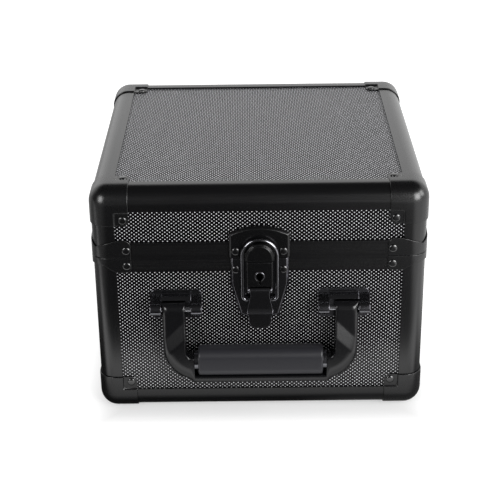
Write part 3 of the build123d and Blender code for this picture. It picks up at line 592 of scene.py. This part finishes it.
def flip(bm, verts, faces, middle, axis):
    """Mirror some of a bmesh in place about a plane across an axis."""
    factors = Vector((1, 1, 1))
    factors[axis] = -1
    bmesh.ops.scale(bm, vec=factors, space=Matrix.Translation(-middle), verts=verts)
    bmesh.ops.reverse_faces(bm, faces=faces)


def add_mirror(bm, middle, axis):
    """Add the mirror image of everything, facing outwards as the original does."""
    copied = bmesh.ops.duplicate(bm, geom=everything(bm))["geom"]
    flip(bm, only(bmesh.types.BMVert, copied), only(bmesh.types.BMFace, copied), middle, axis)


def four_corners(bm):
    """Move a piece from the origin to the front left corner and mirror it to the other three."""
    bmesh.ops.translate(bm, verts=bm.verts, vec=Vector((case_low.x, case_low.y, 0)))
    add_mirror(bm, case_middle, 0)
    add_mirror(bm, case_middle, 1)


def sheet_metal(piece):
    """Give a skin its wall, inwards, and round the wall's edges."""
    wall = piece.modifiers.new("sheet", "SOLIDIFY")
    wall.thickness = sheet
    wall.offset = -1
    wall.use_even_offset = True
    edges = piece.modifiers.new("edges", "BEVEL")
    edges.width = sheet_edge
    edges.segments = 2
    edges.limit_method = "ANGLE"
    edges.angle_limit = square_edge
    even_shading(piece)


def ball_corner():
    """One pressed corner as a skin in the octant at the origin."""
    bm = bmesh.new()
    bmesh.ops.create_cube(bm, size=corner_reach, matrix=Matrix.Translation([corner_reach / 2] * 3))
    inner = [f for f in bm.faces if max(f.calc_center_median()) > corner_reach - weld]
    bmesh.ops.delete(bm, geom=inner, context="FACES")
    bevel(bm, [e for e in bm.edges if e.is_manifold], ball_radius, ball_steps)
    for axis in range(3):
        for depth in (post_reach, post_reach + sheet):
            cut(bm, direction(axis) * depth, direction(axis))
    for axis in range(3):
        inwards = direction(axis)
        diagonal = Vector((1, 1, 1)) - inwards
        tab = [v for v in bm.verts
               if v.co[axis] < weld and min(v.co + inwards) > post_reach + sheet / 2]
        bmesh.ops.translate(bm, verts=tab, vec=inwards * tab_depth)
        cut(bm, diagonal * (corner_reach - tab_cut / 2), diagonal, clear=True)
    return bm


for part in ("base", "lid"):
    bm = ball_corner()
    four_corners(bm)
    if part == "lid":
        flip(bm, bm.verts, bm.faces, case_middle, 2)
    sheet_metal(shown(f"{part}_ball_corners_pressed", bm, pressed, f"{part}_ball_corners"))
print("ball corners of", round(ball_radius / MM, 1), "mm outside radius")

# %% [markdown]
# ## Rim corners
# Where the seam meets a corner, a strip of the same sheet wraps the post and ties the two rims
# together. The strip on the lid dips in a V at the corner, and the one on the base is lifted, so
# that both clear the round of the corner. Each starts as the two outer faces of a block with a
# rounded edge between them. The notch is cut by planes that run in along the diagonal.

# %% Wrap the rim corners
rim_reach = 29.0 * MM
seam_relief = 0.15 * MM
seam_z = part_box("lid_rim_corners")[0].z - seam_relief
notch_half = post_reach / math.sqrt(2)
tab_round = 4.0 * MM
tab_steps = 5
diagonal = Vector((1, 1, 0)).normalized()
sideways = Vector((-1, 1, 0)).normalized()


def block(bm, middle, size):
    """A box of a given size round its middle."""
    bmesh.ops.create_cube(bm, size=1, matrix=Matrix.Translation(middle) @ Matrix.Diagonal(size.to_4d()))


def rim_corner(low, high, notch):
    """A wrapped skin between two heights, less what lies beyond every line of its notch."""
    bm = bmesh.new()
    size = Vector((rim_reach, rim_reach, high - low))
    block(bm, Vector((0, 0, low)) + size / 2, size)
    kept = [f for f in bm.faces if min(f.calc_center_median().xy) < weld]
    bmesh.ops.delete(bm, geom=[f for f in bm.faces if f not in kept], context="FACES")
    bevel(bm, [e for e in bm.edges if e.is_manifold], ball_radius, ball_steps)
    notch_side = high if notch[0][1] > (low + high) / 2 else low
    ends = [v for v in bm.verts
            if abs(max(v.co.xy) - rim_reach) < weld and abs(v.co.z - notch_side) < weld]
    bevel(bm, ends, tab_round, tab_steps, affect="VERTICES")
    planes = []
    for (start, start_z), (end, end_z) in zip(notch, notch[1:]):
        begin = sideways * start + Vector((0, 0, start_z))
        along = sideways * (end - start) + Vector((0, 0, end_z - start_z))
        normal = along.cross(diagonal)
        if (normal.z > 0) != (notch_side == high):
            normal.negate()
        planes.append((begin, normal))
        cut(bm, begin, normal)
    gone = [f for f in bm.faces
            if all((f.calc_center_median() - point).dot(normal) > 0 for point, normal in planes)]
    bmesh.ops.delete(bm, geom=gone, context="FACES")
    return bm


lid_top = seam_z + 13.5 * MM
lid_dip = 5.5 * MM
base_bottom = seam_z - 11.5 * MM
base_lift = 5.5 * MM
notch_of = {
    "lid": (seam_z + seam_relief, lid_top,
            [(-notch_half, lid_top), (0, lid_top - lid_dip), (notch_half, lid_top)]),
    "base": (base_bottom, seam_z - seam_relief,
             [(-notch_half, base_bottom), (-ball_radius / 2, base_bottom + base_lift),
              (ball_radius / 2, base_bottom + base_lift), (notch_half, base_bottom)]),
}
for part, (low, high, notch) in notch_of.items():
    bm = rim_corner(low, high, notch)
    four_corners(bm)
    sheet_metal(shown(f"{part}_rim_corners_pressed", bm, pressed, f"{part}_rim_corners"))
print("seam at", round(seam_z / MM, 1), "mm")

# %% [markdown]
# ## Rivets
# The heads are low and nearly flat on top, with a full round edge, so each lamp shows in them as
# a crescent near the rim. One profile, squarer than a circle, is spun once round, and a copy is
# set on each head of the solid group. The group says where: the shortest side of a head's box is
# its axis, and its foot is on the side towards the case.

# %% Rivet heads with a round edge
rivet_radius = 3.0 * MM
rivet_height = 1.1 * MM
squareness = 0.72
dome_steps = 8
round_steps = 24


def separate_boxes(name):
    """The lowest and highest corners of each separate solid in a node."""
    bm = welded(name)
    seen = set()
    boxes = []
    for start in bm.verts:
        if start.index in seen:
            continue
        waiting, points = [start], []
        seen.add(start.index)
        while waiting:
            vert = waiting.pop()
            points.append(vert.co.copy())
            for edge in vert.link_edges:
                other = edge.other_vert(vert)
                if other.index not in seen:
                    seen.add(other.index)
                    waiting.append(other)
        boxes.append((Vector(map(min, zip(*points))), Vector(map(max, zip(*points)))))
    bm.free()
    return boxes


def spun_dome(bm):
    """A low head at the origin, its axis along +Z, whose edge is rounder than its top."""
    profile = []
    for step in range(dome_steps + 1):
        angle = math.pi / 2 * step / dome_steps
        across = rivet_radius * max(0.0, math.cos(angle)) ** squareness
        profile.append(bm.verts.new((across, 0, rivet_height * math.sin(angle) ** squareness)))
    edges = [bm.edges.new(pair) for pair in zip(profile, profile[1:])]
    bmesh.ops.spin(bm, geom=profile + edges, cent=(0, 0, 0), axis=(0, 0, 1), angle=2 * math.pi,
                   steps=round_steps, use_merge=True)
    bmesh.ops.remove_doubles(bm, verts=bm.verts, dist=weld)
    rim = [e for e in bm.edges if e.is_boundary]
    bmesh.ops.contextual_create(bm, geom=rim)
    bmesh.ops.recalc_face_normals(bm, faces=bm.faces)


def join_into(bm, one):
    """Add all of one bmesh to another, and free it."""
    mesh = bpy.data.meshes.new("joined")
    one.to_mesh(mesh)
    one.free()
    bm.from_mesh(mesh)
    bpy.data.meshes.remove(mesh)


for part in ("base", "lid"):
    bm = bmesh.new()
    heads = separate_boxes(f"{part}_rivets")
    for low, high in heads:
        size = high - low
        axis = min(range(3), key=lambda a: size[a])
        middle = (low + high) / 2
        outward = Vector((0, 0, 0))
        outward[axis] = 1 if middle[axis] > case_middle[axis] else -1
        foot = middle.copy()
        foot[axis] = low[axis] if outward[axis] > 0 else high[axis]
        head = bmesh.new()
        spun_dome(head)
        turned = Matrix.Translation(foot) @ outward.to_track_quat("Z", "Y").to_matrix().to_4x4()
        bmesh.ops.transform(head, matrix=turned, verts=head.verts)
        join_into(bm, head)
    shown(f"{part}_rivets_domed", bm, rivet_paint, f"{part}_rivets")
    print(part, "rivets:", len(heads))

# %% [markdown]
# ## Latch plates, brackets and hinges
# These are stampings and castings whose solids already have the right outline, so they get the
# softened double. The radius follows how each was made: half a millimetre on the latch plates,
# which were struck in a die, and round the plug, whose turned rim is a bright ring, less on the
# brackets, the housing and the hinges, and least on the wire, which is round already.

# %% Soften the latch plates, the lock, the brackets and the hinges
# The radii are in millimetres.
edge_of_piece = {
    "latch_lid_plate": 0.5, "latch_base_plate": 0.5, "lock_housing": 0.3, "lock_cylinder": 0.5,
    "lever_pin": 0.2, "latch_loop": 0.1, "handle_bracket_left": 0.4, "handle_bracket_right": 0.4,
    "handle_pins": 0.3, "handle_core_rod": 0.3, "hinge_base_leaves": 0.25, "hinge_lid_leaves": 0.25,
    "hinge_pins": 0.2,
}
for name, edge in edge_of_piece.items():
    softened(name, edge)
print("softened:", len(edge_of_piece))

# %% [markdown]
# ## The latch lever
# The lever is one stamping: a plate rolled round its pin at the top, a fold that steps forward,
# and a thumb tongue with a round end. It is drawn flat from the front, cut across where it bends,
# and then each row of points is moved out to the depth that the side view asks for. The fold
# faces up, so it is the lightest band on the latch.

# %% Draw the lever flat, fold it and give it its thickness
front_y = case_low.y
pin_low, pin_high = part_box("lever_pin")
pivot_z = (pin_low.z + pin_high.z) / 2
pivot_out = front_y - (pin_low.y + pin_high.y) / 2
barrel_radius = 2.4 * MM
barrel_half = 7.1 * MM
lever_gauge = 1.2 * MM
lever_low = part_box("latch_lever")[0]
tip_out = front_y - lever_low.y
plate_out = pivot_out + barrel_radius
fold_start, fold_end = seam_z - 36.6 * MM, seam_z - 40.4 * MM
fold_rows = 6
tongue_round = 6.2 * MM
tongue_steps = 7
lever_edge = 0.35 * MM
lever_edge_steps = 3
cut_edge = math.radians(60)
# The lever's outline is a list of heights, each with half its width in millimetres.
lever_half_widths = (
    (pivot_z, 7.1), (pivot_z - 2.7 * MM, 6.7), (fold_start, 8.9), (fold_start - 0.5 * MM, 9.4),
    (fold_end, 9.2), (fold_end - 1.2 * MM, 8.2), (lever_low.z, 8.0),
)
# The cheeks' outline from the side: millimetres out from the front, and up from the seam.
cheek_profile = ((8.4, -27.4), (2.9, -28.6), (2.9, -34.4), (8.4, -35.6))


def lever_out(z):
    """How far the lever's face stands forward at a height."""
    if z > fold_start:
        return plate_out
    share = min(1, (fold_start - z) / (fold_start - fold_end))
    return plate_out + (tip_out - plate_out) * math.sin(share * math.pi / 2)


def round_bar(bm, middle, radius, half_length, sides):
    """A closed round bar along X."""
    turned = Matrix.Translation(middle) @ Matrix.Rotation(math.pi / 2, 4, "Y")
    bmesh.ops.create_cone(bm, cap_ends=True, segments=sides, radius1=radius, radius2=radius,
                          depth=2 * half_length, matrix=turned)


bm = bmesh.new()
right_side = [bm.verts.new((half * MM, front_y, z)) for z, half in lever_half_widths]
left_side = [bm.verts.new((-half * MM, front_y, z)) for z, half in lever_half_widths]
bm.faces.new(left_side + right_side[::-1])
bevel(bm, [right_side[-1], left_side[-1]], tongue_round, tongue_steps, affect="VERTICES")
for row in range(fold_rows + 1):
    row_z = fold_start + (fold_end - fold_start) * row / fold_rows
    cut(bm, Vector((0, 0, row_z)), Vector((0, 0, 1)))
for vert in bm.verts:
    vert.co.y = front_y - lever_out(vert.co.z)
bmesh.ops.recalc_face_normals(bm, faces=bm.faces)
facing = sum((f.normal * f.calc_area() for f in bm.faces), Vector())
if facing.y > 0:
    bmesh.ops.reverse_faces(bm, faces=bm.faces)
bmesh.ops.solidify(bm, geom=everything(bm), thickness=lever_gauge)
bmesh.ops.recalc_face_normals(bm, faces=bm.faces)
rims = [e for e in bm.edges if e.is_manifold and e.calc_face_angle() > cut_edge]
bevel(bm, rims, lever_edge, lever_edge_steps, clamp_overlap=True)
round_bar(bm, (0, front_y - pivot_out, pivot_z), barrel_radius, barrel_half, sides=24)
for side in (-1, 1):
    corners = [bm.verts.new((side * barrel_half, front_y - out * MM, seam_z + rise * MM))
               for out, rise in cheek_profile]
    face = bm.faces.new(corners)
    wall = bmesh.ops.extrude_face_region(bm, geom=[face])["geom"]
    bmesh.ops.translate(bm, verts=only(bmesh.types.BMVert, wall),
                        vec=Vector((-side * lever_gauge, 0, 0)))
bmesh.ops.recalc_face_normals(bm, faces=bm.faces)
lever = shown("latch_lever_folded", bm, plated, "latch_lever")
even_shading(lever)
print("lever out in mm:", round(tip_out / MM, 1))

# %% [markdown]
# ## The handle's frame
# The frame is one moulding: a barrel round each pin, a strap below it, a ramp up to the thicker
# corners, and a slim bar under the grip. A grid is laid along the U and rolled round its section,
# like a tube. For each point, one number says how far along the U it lies and one how far round
# the section, and the functions below turn them into its place. Only one half is made this way,
# and its mirror image closes the ring.

# %% The outline of the frame, from pin to middle
frame_low, frame_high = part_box("handle_frame")
hinge_pin_low, hinge_pin_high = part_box("handle_pins")
handle_pin_z = (hinge_pin_low.z + hinge_pin_high.z) / 2
handle_pin_out = front_y - (hinge_pin_low.y + hinge_pin_high.y) / 2
head_radius = 5.0 * MM
arm_out_x = frame_high.x
arm_in_x = arm_out_x - 16.7 * MM
frame_round = 27.0 * MM
frame_bottom = frame_low.z
strap_out = 12.0 * MM
bulge_out = front_y - frame_low.y
frame_back_out = 3.4 * MM
ramp_reach = 9.5 * MM
ramp_top = Vector((arm_in_x, 0, seam_z - 44.5 * MM))
ramp_foot = Vector((arm_out_x, 0, seam_z - 61.5 * MM))
shoulder_x = 48.0 * MM
shoulder_z = seam_z - 74.0 * MM
bar_top = seam_z - 89.4 * MM
arc_x = arm_out_x - frame_round
arc_z = frame_bottom + frame_round

# Each station pairs a point of the inner edge with a place on the outer edge. That place counts
# from 0 at the pin, past 1 and 2 where the round corner begins and ends, to 3 in the middle. The
# last number is how many rows of the grid lead from a station to the next.
crease = (handle_pin_z - ramp_foot.z) / (handle_pin_z - arc_z)
stations = (
    (arm_in_x, handle_pin_z, 0.0, 6),
    (arm_in_x, ramp_top.z, crease, 10),
    (arm_in_x, seam_z - 58.0 * MM, 1.28, 6),
    (arm_in_x, seam_z - 70.0 * MM, 1.53, 2),
    (51.6 * MM, shoulder_z, 1.64, 2),
    (shoulder_x, shoulder_z, 1.73, 5),
    (shoulder_x, bar_top, 1.89, 2),
    (arc_x, bar_top, 2.0, 8),
    (0.0, bar_top, 3.0, 0),
)


def outer_edge(along):
    """A point of the outer edge."""
    if along <= 1:
        return Vector((arm_out_x, 0, handle_pin_z + (arc_z - handle_pin_z) * along))
    if along <= 2:
        angle = (along - 1) * math.pi / 2
        return Vector((arc_x + frame_round * math.cos(angle), 0, arc_z - frame_round * math.sin(angle)))
    return Vector((arc_x * (3 - along), 0, frame_bottom))


edges_of_frame = []
for (x, z, along, steps), (next_x, next_z, next_along, _) in zip(stations, stations[1:]):
    for step in range(steps):
        share = step / steps
        inner = Vector((x + (next_x - x) * share, 0, z + (next_z - z) * share))
        edges_of_frame.append((inner, outer_edge(along + (next_along - along) * share)))
edges_of_frame.append((Vector((0, 0, bar_top)), outer_edge(3)))
head_rows = 5
head = [(*edges_of_frame[0], math.pi / 2 * (1 - row / head_rows)) for row in range(head_rows)]
frame_rows = head + [(*pair, 0.0) for pair in edges_of_frame]
print("rows along half the frame:", len(frame_rows))

# %% The section of the frame, and the grid rolled round it
strap_round = 4.6 * MM
corner_round_across = 10.5 * MM
corner_round_deep = 6.5 * MM
inner_front_round = 1.3 * MM
back_round = 0.9 * MM
most_outer_share = 0.62
most_inner_share = 0.2
across_front = 9
head_meets_back = math.sqrt(head_radius**2 - (handle_pin_out - frame_back_out) ** 2)


def front_out(point):
    """How far the frame's face stands forward: strap, ramp or thick corner."""
    along_crease = (ramp_foot - ramp_top).normalized()
    beside = Vector((abs(point.x), 0, point.z)) - ramp_top
    below = beside.x * along_crease.z - beside.z * along_crease.x
    if below <= 0:
        return strap_out
    return strap_out + (bulge_out - strap_out) * min(1, below / ramp_reach)


def quarter_turn(corner, steps):
    """The points round one corner of the section, each with its angle."""
    return [(corner, math.pi / 2 * step / steps) for step in range(steps + 1)]


def section_points():
    """Round the section: the stretch that each point is on, and its angle or share of the way."""
    front = [("front", step / across_front) for step in range(1, across_front)]
    fronts = quarter_turn("outer_front", 6) + front + quarter_turn("inner_front", 4)
    return fronts + quarter_turn("inner_back", 2) + quarter_turn("outer_back", 2)


def placed(row, corner, turn):
    """The place of one point of the grid."""
    inner, outer, rise_angle = row
    breadth = (inner - outer).length
    inwards = (inner - outer).normalized()
    thick = (front_out(outer) - strap_out) / (bulge_out - strap_out)
    across = min(strap_round + (corner_round_across - strap_round) * thick, most_outer_share * breadth)
    deep = min(strap_round + (corner_round_deep - strap_round) * thick, across)
    small = min(inner_front_round, most_inner_share * breadth)
    off_sine, off_cosine = 1 - math.sin(turn), 1 - math.cos(turn)
    from_outer, from_face = {
        "outer_front": (across * off_cosine, deep * off_sine),
        "front": (across + (breadth - across - small) * turn, 0),
        "inner_front": (breadth - small * off_sine, small * off_cosine),
        "inner_back": (breadth - back_round * off_cosine, back_round * off_sine),
        "outer_back": (back_round * off_sine, back_round * off_cosine),
    }[corner]
    at = outer + inwards * from_outer
    below_pin = handle_pin_z - at.z
    back = frame_back_out
    if below_pin < head_meets_back:
        back = handle_pin_out - math.sqrt(head_radius**2 - max(0, below_pin) ** 2)
    out = back + from_face if corner.endswith("back") else front_out(at) - from_face
    out = handle_pin_out + (out - handle_pin_out) * math.cos(rise_angle)
    at.z += head_radius * math.sin(rise_angle)
    at.y = front_y - out
    return at


ring = section_points()
bm = bmesh.new()
rows, columns = len(frame_rows) - 1, len(ring)
bmesh.ops.create_grid(bm, x_segments=rows, y_segments=columns, size=1)
for vert in bm.verts:
    row = round((vert.co.x + 1) / 2 * rows)
    column = round((vert.co.y + 1) / 2 * columns) % columns
    vert.co = placed(frame_rows[row], *ring[column])
bmesh.ops.remove_doubles(bm, verts=bm.verts, dist=weld)
add_mirror(bm, Vector((0, 0, 0)), 0)
bmesh.ops.remove_doubles(bm, verts=bm.verts, dist=weld)
bmesh.ops.holes_fill(bm, edges=[e for e in bm.edges if e.is_boundary])
bmesh.ops.recalc_face_normals(bm, faces=bm.faces)
shown("handle_frame_moulded", bm, handle_abs, "handle_frame", shade_sharp=math.radians(40))
print("frame faces:", rows * columns * 2)

# %% [markdown]
# ## The grip
# The grip is a soft sleeve on a rod between the frame's shoulders. It is a block with its four
# long edges rounded and its ends eased. A thin black nickel collar at each end keeps it from
# rubbing on the frame, and shows as a fine line of light at each end of the grip.

# %% Round the grip and add its collars
grip_low, grip_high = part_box("handle_grip")
grip_size = grip_high - grip_low
grip_middle = (grip_low + grip_high) / 2
grip_round = 6.5 * MM
grip_round_steps = 9
grip_end = 1.6 * MM
grip_end_steps = 4
collar_radius = 7.2 * MM
collar_half = (shoulder_x - grip_high.x) / 2

bm = bmesh.new()
block(bm, grip_middle, grip_size)
long_edges = [e for e in bm.edges if abs(e.verts[0].co.x - e.verts[1].co.x) > grip_size.x / 2]
bevel(bm, long_edges, grip_round, grip_round_steps)
ends = [f for f in bm.faces if abs(f.normal.x) > 0.9]
bevel(bm, list({e for f in ends for e in f.edges}), grip_end, grip_end_steps)
grip = shown("handle_grip_sleeve", bm, grip_rubber, "handle_grip")
even_shading(grip)

bm = bmesh.new()
for side in (-1, 1):
    collar_middle = (side * (shoulder_x - collar_half), grip_middle.y, grip_middle.z)
    round_bar(bm, collar_middle, collar_radius, collar_half, sides=32)
collars = object_of("grip_collars", bm, plated)
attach(collars, "handle")
print("grip length:", round(grip_size.x / MM, 1), "mm")

# %% [markdown]
# ## Foam lining
# The lining is sheets of closed-cell foam, cut with a blade. Cut foam springs back, so its faces
# swell slightly between the edges and the edges are soft. Each sheet starts a little smaller than
# its solid, is divided, and its faces are pushed out again by a gentle swell.

# %% Cut the foam boards
foam_swell = 0.45 * MM
foam_edge = 1.2 * MM
foam_edge_steps = 3
foam_cells = 10
on_a_face = 0.999


def foam_sheet(bm, low, high):
    """One cut sheet with soft edges and slightly swollen faces."""
    size = high - low
    middle = (low + high) / 2
    one = bmesh.new()
    inner_size = size - Vector([2 * foam_swell] * 3)
    block(one, middle, inner_size)
    bevel(one, one.edges[:], foam_edge, foam_edge_steps)
    for axis in range(3):
        pieces = max(2, round(foam_cells * size[axis] / max(size)))
        for step in range(1, pieces):
            cut(one, low + size * step / pieces, direction(axis))
    for vert in one.verts:
        place = [(vert.co[a] - middle[a]) / (inner_size[a] / 2) for a in range(3)]
        for axis in range(3):
            across = [place[a] for a in range(3) if a != axis]
            if abs(place[axis]) > on_a_face:
                swell = (1 - across[0] ** 4) * (1 - across[1] ** 4)
                vert.co[axis] += math.copysign(foam_swell * swell, place[axis])
    join_into(bm, one)


for name in ("base_foam_floor", "base_foam_walls", "base_foam_divider", "lid_foam_pad", "lid_foam_walls"):
    bm = bmesh.new()
    for low, high in separate_boxes(name):
        foam_sheet(bm, low, high)
    piece = shown(f"{name}_cut", bm, foam, name, shade_sharp=math.radians(60))
print("foam sheets cut")

# %% Finish
low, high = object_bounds()
print("visual box in mm:", [round(1000 * v, 1) for v in (high - low)])
